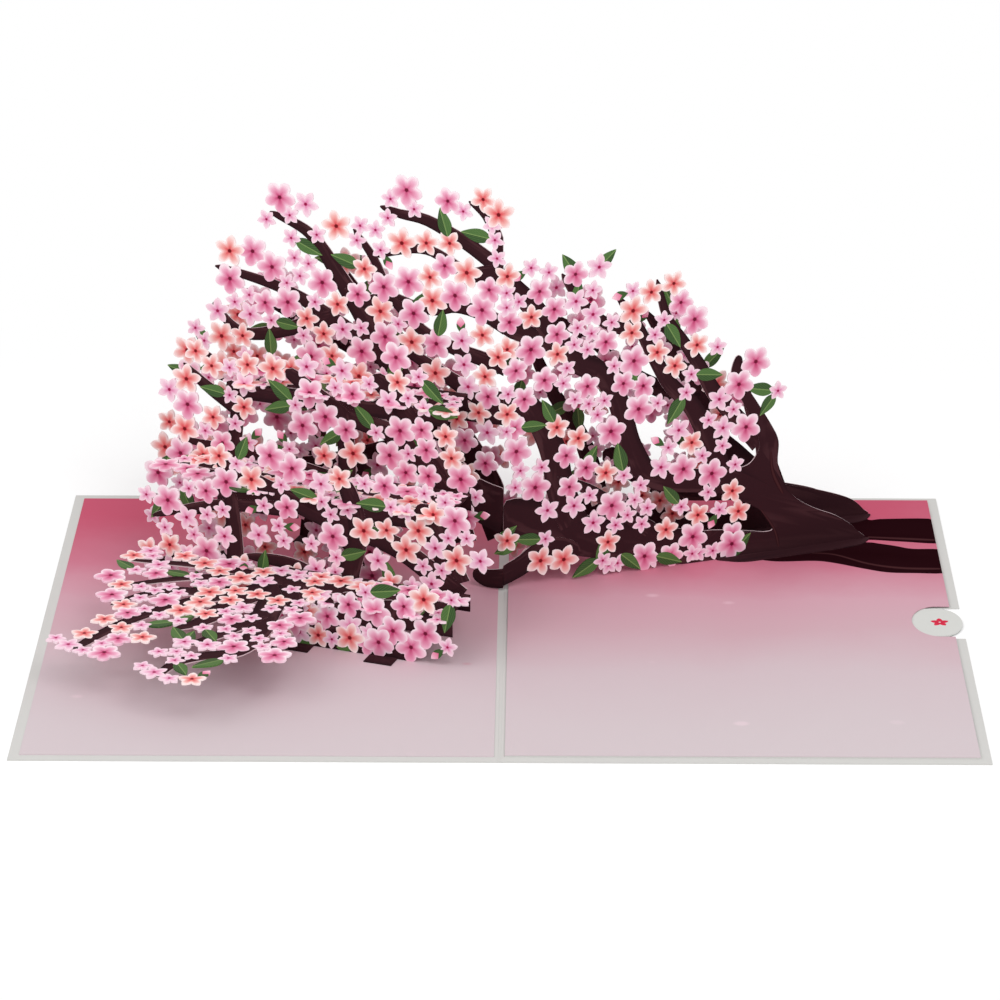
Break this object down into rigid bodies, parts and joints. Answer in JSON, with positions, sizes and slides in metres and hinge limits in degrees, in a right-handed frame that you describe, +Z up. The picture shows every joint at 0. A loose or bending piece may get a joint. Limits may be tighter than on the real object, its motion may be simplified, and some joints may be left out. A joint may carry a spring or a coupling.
{
  "type": "pop up card",
  "caption": "Open greeting card whose folded paper sheets stand up as a blossoming tree, with a blank note that slides out of a pocket.",
  "frame": {"origin": "middle of the spine on the underside of the open card", "axes": "+X along the open card from the left page to the right page, +Y along the spine to the back edge, +Z up from the pages"},
  "size_m": [0.254, 0.1778, 0.1189],
  "materials": {
    "cover_card": "uncoated matt, pale grey",
    "liner_print": "matt print, deep rose at the back fading to pale pink at the front",
    "spacer_card": "uncoated matt",
    "note_card": "uncoated matt, blank",
    "tree_card": "matt print of dark bark, pink blossoms and green leaves"
  },
  "bodies": {
    "card": {"cover": "cover_card", "left_liner": "liner_print", "right_liner": "liner_print", "pocket_strip_front": "spacer_card", "pocket_strip_back": "spacer_card", "pocket_strip_spine": "spacer_card", "main_tree": "tree_card", "back_tree": "tree_card", "front_step": "tree_card", "middle_step": "tree_card", "rear_step": "tree_card", "low_spray": "tree_card", "middle_spray": "tree_card", "upper_spray": "tree_card"},
    "note": {"note_card": "note_card"}
  },
  "joints": [
    {"name": "note_slide", "type": "slide", "parent": "card", "child": "note", "axis": [1, 0, 0], "range_m": [0, 0.125]}
  ]
}
